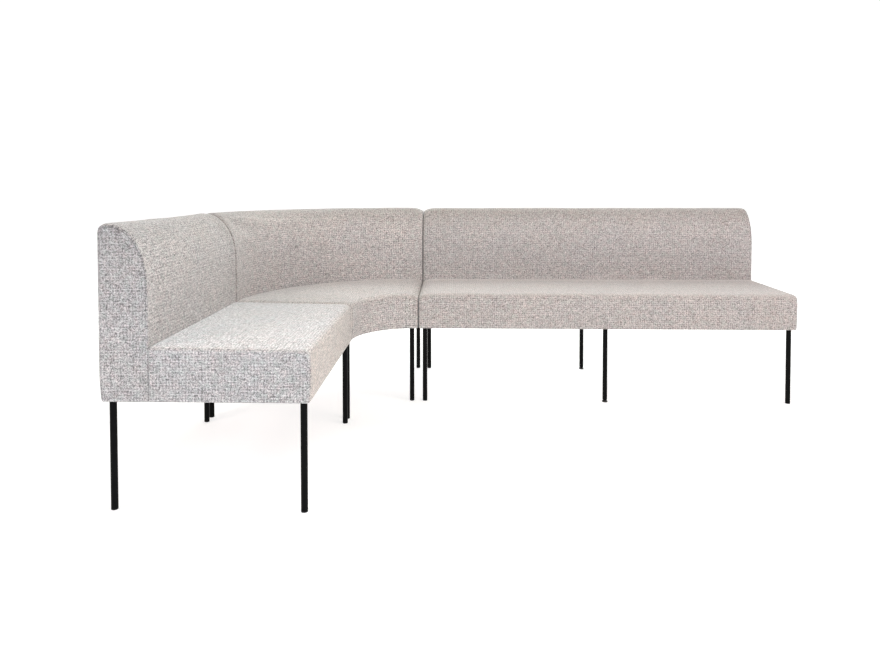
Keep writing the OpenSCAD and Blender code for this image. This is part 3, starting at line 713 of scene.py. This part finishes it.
# Materials
class Nodes:
    """A material's node graph, built by naming nodes and what feeds them."""

    def __init__(self, name):
        self.material = bpy.data.materials.new(name)
        self.material.use_nodes = True
        self.tree = self.material.node_tree
        self.shader = self.tree.nodes["Principled BSDF"]

    def add(self, kind, settings=None, **inputs):
        node = self.tree.nodes.new(kind)
        for key, value in (settings or {}).items():
            setattr(node, key, value)
        for key, value in inputs.items():
            self.feed(node, key.replace("_", " "), value)
        return node

    def feed(self, node, key, value):
        socket = node.inputs[int(key)] if key.isdigit() else node.inputs[key]
        if isinstance(value, bpy.types.NodeSocket):
            self.tree.links.new(value, socket)
        else:
            socket.default_value = value

    def math(self, what, a, b=0.0, c=0.0):
        node = self.tree.nodes.new("ShaderNodeMath")
        node.operation = what
        for k, value in enumerate((a, b, c)):
            self.feed(node, str(k), value)
        return node.outputs[0]

    def noise(self, vector, scale=1.0, detail=2.0, roughness=0.5):
        node = self.add(
            "ShaderNodeTexNoise",
            Vector=vector, Scale=scale, Detail=detail, Roughness=roughness,
        )
        return node.outputs[0]

    def ramp(self, value, stops):
        node = self.tree.nodes.new("ShaderNodeValToRGB")
        ramp = node.color_ramp
        while len(ramp.elements) < len(stops):
            ramp.elements.new(0.5)
        for element, (place, colour) in zip(ramp.elements, stops):
            element.position = place
            element.color = (*colour, 1)
        self.tree.links.new(value, node.inputs[0])
        return node.outputs[0]

    def mixed(self, share, a, b, blend="MIX"):
        node = self.tree.nodes.new("ShaderNodeMix")
        node.data_type = "RGBA"
        node.blend_type = blend
        self.feed(node, "0", share)
        for key, value in (("6", a), ("7", b)):
            if isinstance(value, tuple):
                value = (*value, 1)
            self.feed(node, key, value)
        return node.outputs[2]

    def vector(self, x, y, z=0.0):
        return self.add("ShaderNodeCombineXYZ", X=x, Y=y, Z=z).outputs[0]

    def picked(self, share, a, b):
        """Value a where the share is 0, b where it is 1."""
        node = self.add("ShaderNodeMix", {"data_type": "FLOAT"})
        for key, value in (("0", share), ("2", a), ("3", b)):
            self.feed(node, key, value)
        return node.outputs[0]

    def wave(self, value, pitch):
        """Sine of a length that comes round at each pitch."""
        return self.math("SINE", self.math("MULTIPLY", value, 2 * math.pi / pitch))

    def summed(self, a, share_a, b, share_b):
        parts = (self.math("MULTIPLY", a, share_a), self.math("MULTIPLY", b, share_b))
        return self.math("ADD", *parts)

    def clamped(self, value, factor, offset):
        scaled = self.math("MULTIPLY_ADD", value, factor, offset)
        return self.add("ShaderNodeClamp", Value=scaled).outputs[0]

    def attribute(self, name):
        return self.add("ShaderNodeAttribute", {"attribute_name": name}).outputs["Fac"]

    def place(self):
        return self.add("ShaderNodeTexCoord").outputs["Object"]

    def surfaced(self, colour, roughness, height, distance, strength, **constants):
        """Feeds the shader its colour, roughness and relief, and sets its plain values."""
        relief = self.add(
            "ShaderNodeBump", Height=height, Distance=distance, Strength=strength
        )
        self.feed(self.shader, "Base Color", colour)
        self.feed(self.shader, "Roughness", roughness)
        self.feed(self.shader, "Normal", relief.outputs[0])
        for key, value in constants.items():
            self.feed(self.shader, key.replace("_", " "), value)
        return self.material


# Thread pitch of the cover, and how far apart and how far aside its threads wander
THREAD = 0.0023
WANDER_SCALE = 30.0
WANDER = 0.0030
# Lengths over which a yarn's tone and its slubs hold, for warp and weft
YARN_LENGTHS = (0.010, 0.012)
SLUB_LENGTHS = (0.030, 0.036)
# Step in the noise from thread to thread, far enough that neighbours differ
THREAD_STEP = 17.37
# How much each source of tone varies the cloth
YARN_CONTRAST = 1.3
WEFT_SLUB_CONTRAST = 0.42
WARP_SLUB_CONTRAST = 0.30
CROSSING_CONTRAST = 0.70
FLECK_CONTRAST = 0.15
# Every fourth thread of both sets is a lighter yarn
LIGHT_THREAD_STEP = 4
LIGHT_THREAD_LIFT = 0.30
# Size of a tinted stretch of the melange and how strong its tint is
TINT_LENGTH = 0.022
TINT_SHARE = 0.7
# Painted shade in the crease of a seam and in the gaps at the joints
SEAM_SHADE = 0.46
# Pitch of the plies in the plywood, and of the dots pressed into the bottom cloth
PLY_PITCH = 0.0028
DOT_PITCH = 0.0016


def fabric_material():
    """Basket weave of melange slub yarns, light grey with pink and green threads."""
    g = Nodes("cover_fabric_woven")
    uv = g.add("ShaderNodeUVMap", {"uv_map": "cloth"}).outputs[0]
    drift = g.add("ShaderNodeTexNoise", Vector=uv, Scale=WANDER_SCALE, Detail=1.0)
    drifted = g.add("ShaderNodeVectorMath", {"operation": "MULTIPLY_ADD"})
    for key, value in (("0", drift.outputs[1]), ("1", (WANDER, WANDER, 0.0)), ("2", uv)):
        g.feed(drifted, key, value)
    u, v = g.add("ShaderNodeSeparateXYZ", Vector=drifted.outputs[0]).outputs[:2]
    across = g.math("DIVIDE", u, THREAD)
    along = g.math("DIVIDE", v, THREAD)
    warp_number = g.math("FLOOR", across)
    weft_number = g.math("FLOOR", along)
    # Which set of threads lies on top, changing from crossing to crossing
    wave_u, wave_v = g.wave(across, 2.0), g.wave(along, 2.0)
    on_top = g.clamped(g.math("MULTIPLY", wave_u, wave_v), 2.5, 0.5)

    def yarn_tone(number, way, length, lane):
        """Tone that holds for about a length of thread; each lane is another noise."""
        thread = g.math("MULTIPLY", number, THREAD_STEP)
        return g.noise(g.vector(thread, g.math("DIVIDE", way, length), lane), 1.0, 1.0, 0.6)

    def light_thread(number):
        place = g.math("FLOORED_MODULO", number, LIGHT_THREAD_STEP)
        return g.math("LESS_THAN", place, 0.5)

    warp = yarn_tone(warp_number, v, YARN_LENGTHS[0], 1.0)
    weft = yarn_tone(weft_number, u, YARN_LENGTHS[1], 5.0)
    top_yarn = g.picked(on_top, weft, warp)
    slub_warp = yarn_tone(warp_number, v, SLUB_LENGTHS[0], 9.0)
    slub_weft = yarn_tone(weft_number, u, SLUB_LENGTHS[1], 13.0)
    numbers = g.vector(warp_number, weft_number)
    crossing = g.add("ShaderNodeTexWhiteNoise", {"noise_dimensions": "2D"}, Vector=numbers)
    fleck = g.noise(g.vector(across, along, 11.0), 0.8, 2.0, 0.75)
    light = g.picked(on_top, light_thread(weft_number), light_thread(warp_number))
    # Each part varies round a half; the sum is brought back round a half
    tone = g.math("MULTIPLY_ADD", top_yarn, YARN_CONTRAST, 0.5 - YARN_CONTRAST / 2)
    mean_lift = LIGHT_THREAD_LIFT / LIGHT_THREAD_STEP
    tone = g.math("ADD", tone, g.math("MULTIPLY_ADD", light, LIGHT_THREAD_LIFT, -mean_lift))
    for part, contrast in (
        (slub_warp, WARP_SLUB_CONTRAST),
        (slub_weft, WEFT_SLUB_CONTRAST),
        (crossing.outputs[0], CROSSING_CONTRAST),
        (fleck, FLECK_CONTRAST),
    ):
        tone = g.math("ADD", tone, g.math("MULTIPLY_ADD", part, contrast, -contrast / 2))
    away = g.math("SUBTRACT", tone, 0.5)
    tone = g.math("MULTIPLY_ADD", away, g.attribute("contrast"), 0.5)
    greys = [
        (0.0, (0.170, 0.160, 0.157)),
        (0.30, (0.364, 0.342, 0.335)),
        (0.60, (0.616, 0.579, 0.567)),
        (1.0, (0.940, 0.884, 0.866)),
    ]
    grey = g.ramp(tone, greys)
    # Coloured threads in the melange
    tint_u, tint_v = (g.math("DIVIDE", way, TINT_LENGTH) for way in (u, v))
    tinted = g.ramp(
        g.noise(g.vector(tint_u, tint_v, 2.0), 1.0, 1.5, 0.6),
        [(0.3, (0.92, 1.00, 0.97)), (0.5, (1.00, 1.00, 1.00)), (0.7, (1.00, 0.935, 0.93))],
    )
    coloured = g.mixed(TINT_SHARE, grey, tinted, "MULTIPLY")
    # Wide soft patches, as handling leaves them
    cloud = g.noise(uv, 7.0, 2.0, 0.5)
    clouds = g.ramp(cloud, [(0.3, (0.965, 0.975, 0.985)), (0.7, (1.0, 0.99, 0.98))])
    clouded = g.mixed(1.0, coloured, clouds, "MULTIPLY")
    # Painted shade in the gaps between threads
    profile = g.picked(on_top, g.math("ABSOLUTE", wave_v), g.math("ABSOLUTE", wave_u))
    thread_gap_shade = g.ramp(profile, [(0.0, (0.70, 0.70, 0.70)), (0.5, (1.0, 1.0, 1.0))])
    colour = g.mixed(1.0, clouded, thread_gap_shade, "MULTIPLY")
    # Painted shade in the seams and in the gaps between the modules
    shades = [(0.0, (1.0,) * 3), (0.6, (0.93,) * 3), (1.0, (SEAM_SHADE,) * 3)]
    painted_seam_shade = g.ramp(g.attribute("seam"), shades)
    colour = g.mixed(1.0, colour, painted_seam_shade, "MULTIPLY")
    # Painted light and shade, and the painted warmth of the light, on each face
    painted_warmth = g.attribute("painted_warmth")
    lift = g.math("ADD", g.attribute("painted_light"), 1.0)
    red = g.math("MULTIPLY", lift, g.math("ADD", painted_warmth, 1.0))
    blue = g.math("MULTIPLY", lift, g.math("MULTIPLY_ADD", painted_warmth, -1.0, 1.0))
    colour = g.mixed(1.0, colour, g.vector(red, lift, blue), "MULTIPLY")
    fibre = g.noise(g.vector(across, along, 4.0), 3.5, 2.0, 0.7)
    relief = g.math("ADD", profile, g.math("MULTIPLY", fibre, 0.5))
    relief = g.math("ADD", relief, g.math("MULTIPLY", top_yarn, 0.8))
    return g.surfaced(
        colour, g.math("MULTIPLY_ADD", fibre, 0.2, 0.78), relief, 0.0006, 0.6,
        Sheen_Weight=0.5, Sheen_Roughness=0.4, Specular_IOR_Level=0.15,
    )


def steel_material():
    """Matt black powder coat, with its fine orange peel and a few rubbed spots."""
    g = Nodes("leg_steel_coated")
    place = g.place()
    peel = g.noise(place, 1600.0, 2.0, 0.5)
    wear = g.noise(place, 55.0, 4.0, 0.65)
    colour = g.ramp(
        wear, [(0.35, (0.0038, 0.0038, 0.0040)), (0.75, (0.0062, 0.0060, 0.0059))]
    )
    rough = g.math("MULTIPLY_ADD", wear, 0.16, 0.30)
    return g.surfaced(colour, rough, peel, 0.00006, 0.35, Specular_IOR_Level=0.05)


def plastic_material():
    """Black moulded plastic, finely grained and a little scuffed."""
    g = Nodes("foot_plastic_moulded")
    place = g.place()
    grain = g.noise(place, 2400.0, 3.0, 0.6)
    scuff = g.noise(place, 140.0, 3.0, 0.6)
    colour = g.ramp(scuff, [(0.4, (0.010, 0.010, 0.010)), (0.8, (0.024, 0.023, 0.022))])
    rough = g.math("MULTIPLY_ADD", grain, 0.25, 0.40)
    return g.surfaced(colour, rough, grain, 0.00008, 0.4)


def zinc_material():
    """Zinc plate with its faint spangle."""
    g = Nodes("zinc_steel_plated")
    place = g.place()
    spangle = g.add("ShaderNodeTexVoronoi", Vector=place, Scale=420.0).outputs["Color"]
    grey = g.add("ShaderNodeRGBToBW", Color=spangle).outputs[0]
    colour = g.ramp(grey, [(0.2, (0.50, 0.51, 0.53)), (0.8, (0.66, 0.66, 0.65))])
    rough = g.math("MULTIPLY_ADD", grey, 0.15, 0.30)
    return g.surfaced(colour, rough, g.noise(place, 900.0, 2.0), 0.00005, 0.4, Metallic=1.0)


def timber_material():
    """Planed softwood with its rings stretched along the board."""
    g = Nodes("timber_planed")
    place = g.place()
    stretched = g.add("ShaderNodeMapping", Vector=place)
    stretched.inputs["Scale"].default_value = (6.0, 6.0, 26.0)
    rings = g.add(
        "ShaderNodeTexWave",
        {"bands_direction": "Z", "wave_type": "BANDS"},
        Vector=stretched.outputs[0], Scale=3.0, Distortion=5.0, Detail=3.0,
    ).outputs[1]
    fibres = g.noise(stretched.outputs[0], 30.0, 3.0, 0.6)
    grain = g.summed(rings, 0.7, fibres, 0.3)
    colour = g.ramp(
        grain,
        [(0.2, (0.66, 0.47, 0.27)), (0.6, (0.58, 0.38, 0.20)), (0.9, (0.42, 0.25, 0.12))],
    )
    rough = g.math("MULTIPLY_ADD", grain, 0.2, 0.5)
    return g.surfaced(colour, rough, grain, 0.0002, 0.4)


def plywood_material():
    """Birch plywood: plies show as thin bands over the height, with a quiet face grain."""
    g = Nodes("plywood_birch")
    place = g.place()
    parts = g.add("ShaderNodeSeparateXYZ", Vector=place)
    bands = g.math("MULTIPLY_ADD", g.wave(parts.outputs[2], PLY_PITCH), 0.5, 0.5)
    face = g.noise(place, 42.0, 4.0, 0.65)
    mix = g.summed(bands, 0.3, face, 0.7)
    colour = g.ramp(
        mix,
        [(0.2, (0.72, 0.55, 0.36)), (0.55, (0.66, 0.48, 0.30)), (0.9, (0.47, 0.31, 0.18))],
    )
    rough = g.math("MULTIPLY_ADD", face, 0.2, 0.5)
    return g.surfaced(colour, rough, face, 0.00015, 0.4)


def foam_material():
    """Open-cell foam, yellowed as it is in use."""
    g = Nodes("foam_open_cell")
    place = g.place()
    cells = g.add("ShaderNodeTexVoronoi", Vector=place, Scale=700.0).outputs["Distance"]
    colour = g.ramp(cells, [(0.1, (0.60, 0.55, 0.33)), (0.7, (0.83, 0.79, 0.55))])
    rough = g.math("MULTIPLY_ADD", cells, 0.1, 0.85)
    return g.surfaced(colour, rough, cells, 0.0006, 0.6)


def bottom_cloth_material():
    """Black spunbond cloth with its pressed dots."""
    g = Nodes("bottom_cloth_spunbond")
    place = g.place()
    parts = g.add("ShaderNodeSeparateXYZ", Vector=place)
    dot_u, dot_v = (g.wave(parts.outputs[k], DOT_PITCH) for k in (0, 1))
    dots = g.math("MULTIPLY_ADD", g.math("MULTIPLY", dot_u, dot_v), 0.5, 0.5)
    fibre = g.noise(place, 900.0, 4.0, 0.7)
    mix = g.summed(dots, 0.5, fibre, 0.5)
    colour = g.ramp(mix, [(0.2, (0.010, 0.010, 0.011)), (0.8, (0.035, 0.035, 0.037))])
    rough = g.math("MULTIPLY_ADD", fibre, 0.2, 0.75)
    return g.surfaced(colour, rough, mix, 0.00012, 0.5)


MATERIALS = {
    "cover_fabric": fabric_material(),
    "foam": foam_material(),
    "timber": timber_material(),
    "plywood": plywood_material(),
    "bottom_cloth": bottom_cloth_material(),
    "leg_steel": steel_material(),
    "foot_plastic": plastic_material(),
    "zinc_steel": zinc_material(),
}

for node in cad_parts.values():
    for slot in node.material_slots:
        slot.material = MATERIALS[slot.material.name.split(".")[0]]

# Seat and back cushions
for module in MODULES:
    for kind in ("seat", "back"):
        cushion = Cushion(module, kind)
        piece = cushion.build()
        puffed(cushion)
        unevenness(cushion)
        seamed(cushion)
        finished(cushion)
        piece.data.materials.append(MATERIALS["cover_fabric"])
        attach(piece, "root")
        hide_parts(f"{module}_{kind}_cover", f"{module}_{kind}_foam")

# Bottom cloths, stapled under the frame between the hems, which they lie under a little
CLOTH_HEIGHT = UNDERSIDE + 0.0006
CLOTH_SAG = 0.0004
CLOTH_PITCH = 0.03
CLOTH_EDGE = HEM_WIDTH - 0.002


def cloth_grid(module, kind, low_depth, high_depth):
    """A stretched sheet over the underside, between two depths."""
    width = high_depth - low_depth
    if module == "corner":
        length = (CORNER_RADIUS + (low_depth + high_depth) / 2) * math.pi / 2
    else:
        length = LEFT_LENGTH if module == "left" else RIGHT_LENGTH
    along = max(8, round(length / CLOTH_PITCH))
    across = max(3, round(width / CLOTH_PITCH))
    work = bmesh.new()
    grid = []
    for i in range(along + 1):
        row = []
        for j in range(across + 1):
            s = low_depth + width * j / across
            sag = CLOTH_SAG * math.sin(math.pi * i / along) * math.sin(math.pi * j / across)
            z = CLOTH_HEIGHT - sag
            if module == "corner":
                r = CORNER_RADIUS + s
                edge = math.asin(CLOTH_EDGE / r)
                angle = math.pi - edge - (math.pi / 2 - 2 * edge) * i / along
                p = (CENTRE[0] + r * math.cos(angle), CENTRE[1] + r * math.sin(angle), z)
            else:
                t = CLOTH_EDGE + (length - 2 * CLOTH_EDGE) * i / along
                p = straight_place(module, t, s, z)
            row.append(work.verts.new(p))
        grid.append(row)
    for i in range(along):
        for j in range(across):
            work.faces.new((grid[i][j], grid[i][j + 1], grid[i + 1][j + 1], grid[i + 1][j]))
    obj = smooth_object(f"{module}_{kind}_underlining", work)
    obj.data.materials.append(MATERIALS["bottom_cloth"])
    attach(obj, "root")
    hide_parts(f"{module}_bottom_cloth")


for module in MODULES:
    cloth_grid(module, "seat", CLOTH_EDGE, SEAT_DEPTH - CLOTH_EDGE)
    cloth_grid(module, "back", SEAT_DEPTH + CLOTH_EDGE, DEPTH - BOTTOM_TUCK - CLOTH_EDGE)

# Floor that turns up into a backdrop, so that no horizon shows: where the floor's rows and
# columns lie, where the bend begins and its radius, and the heights of the wall above it
FLOOR_ROWS = (-14.0, -6.0, 0.0, 3.2)
FLOOR_COLUMNS = (-14.0, -5.0, 0.0, 5.0, 14.0)
BEND_START, BEND_RADIUS = 3.2, 2.2
WALL_HEIGHTS = (5.0, 9.0)
# Own light of the wall and the floor, and how the one passes into the other over the depth
WALL_GLOW, FLOOR_GLOW = 0.78, 0.58
GLOW_SLOPE, GLOW_OFFSET = 0.45, -0.55


def backdrop():
    profile = [(y, 0.0) for y in FLOOR_ROWS]
    for a in np.radians(np.linspace(6, 90, 14)):
        y = BEND_START + BEND_RADIUS * math.sin(a)
        profile.append((y, BEND_RADIUS - BEND_RADIUS * math.cos(a)))
    profile += [(BEND_START + BEND_RADIUS, z) for z in WALL_HEIGHTS]
    work = bmesh.new()
    rows = [[work.verts.new((x, y, z)) for x in FLOOR_COLUMNS] for y, z in profile]
    for a, b in zip(rows, rows[1:]):
        for k in range(len(FLOOR_COLUMNS) - 1):
            work.faces.new((a[k], a[k + 1], b[k + 1], b[k]))
    floor = smooth_object("studio_floor", work)
    g = Nodes("studio_paper")
    paper = g.noise(g.place(), 3.0, 3.0)
    tone = g.ramp(paper, [(0.3, (0.63, 0.63, 0.63)), (0.7, (0.65, 0.65, 0.65))])
    depth = g.add("ShaderNodeSeparateXYZ", Vector=g.place()).outputs[1]
    far = g.clamped(depth, GLOW_SLOPE, GLOW_OFFSET)
    glow = g.math("MULTIPLY_ADD", far, WALL_GLOW - FLOOR_GLOW, FLOOR_GLOW)
    for key, value in (
        ("Base Color", tone),
        ("Roughness", 0.95),
        ("Specular IOR Level", 0.0),
        ("Emission Color", (1.0, 1.0, 1.0, 1)),
        ("Emission Strength", glow),
    ):
        g.feed(g.shader, key, value)
    floor.data.materials.append(g.material)


backdrop()

# Soft lights: name, place, what they point at, size, power and colour
LIGHTS = (
    ("overhead", (-0.4, -0.6, 3.6), (-0.2, 0.1, 0.3), (4.5, 3.5), 40, (1.0, 0.95, 0.7)),
    ("left", (-3.2, -2.6, 2.6), (-0.6, -0.2, 0.5), (1.5, 1.5), 60, (1.0, 0.86, 0.82)),
    ("right", (2.8, -1.6, 2.6), (-0.4, 0.0, 0.5), (1.6, 1.6), 68, (1.0, 0.86, 0.87)),
    ("front", (-0.2, -3.8, 1.6), (-0.2, 0.2, 0.5), (2.0, 2.0), 55, (0.62, 0.82, 1.0)),
    ("seat", (0.7, -1.7, 2.1), (-1.0, -0.35, 0.5), (1.6, 1.6), 10, (1.0, 0.92, 0.82)),
    ("rear", (0.0, 3.0, 3.0), (0.0, -0.3, 0.4), (2.5, 2.0), 102, (0.94, 1.0, 0.97)),
)
# Light of the air itself
AIR_GLOW = 0.02

for name, place, target, size, power, colour in LIGHTS:
    light = bpy.data.lights.new(f"{name}_light", "AREA")
    light.shape = "RECTANGLE"
    light.size, light.size_y = size
    light.energy = power
    light.color = colour
    lamp = linked(f"{name}_light", light)
    lamp.location = place
    way = Vector(target) - Vector(place)
    lamp.rotation_euler = way.to_track_quat("-Z", "Y").to_euler()

world = bpy.data.worlds.new("studio_air")
world.use_nodes = True
air = world.node_tree.nodes["Background"]
air.inputs[0].default_value = (1.0, 1.0, 1.0, 1)
air.inputs[1].default_value = AIR_GLOW
bpy.context.scene.world = world

# Camera of the photograph: place, turns and lens as fitted to it
CAMERA_PLACE = (-0.2294, -2.7255, 0.9151)
CAMERA_YAW = -0.0305
CAMERA_PITCH = 0.0305
CAMERA_ROLL = -0.0007
FOCAL_PIXELS = 694.2
CENTRE_PIXEL = (431.7, 209.8)
PHOTO = (880, 661)
SENSOR = 36.0

lens = bpy.data.cameras.new("photo_camera")
lens.sensor_width = SENSOR
lens.sensor_fit = "HORIZONTAL"
lens.lens = FOCAL_PIXELS / PHOTO[0] * SENSOR
lens.shift_x = (PHOTO[0] / 2 - CENTRE_PIXEL[0]) / PHOTO[0]
lens.shift_y = (CENTRE_PIXEL[1] - PHOTO[1] / 2) / PHOTO[0]
lens.clip_end = 100
camera = linked("photo_camera", lens)
sy, cy = math.sin(CAMERA_YAW), math.cos(CAMERA_YAW)
sp, cp = math.sin(CAMERA_PITCH), math.cos(CAMERA_PITCH)
right = Vector((cy, -sy, 0))
up = Vector((sy * sp, cy * sp, cp))
back = -Vector((sy * cp, cy * cp, -sp))
turn = Matrix((right, up, back)).transposed().to_4x4()
roll = Matrix.Rotation(CAMERA_ROLL, 4, "Z")
camera.matrix_world = Matrix.Translation(CAMERA_PLACE) @ turn @ roll
bpy.context.scene.camera = camera
bpy.context.scene.view_settings.view_transform = "Standard"
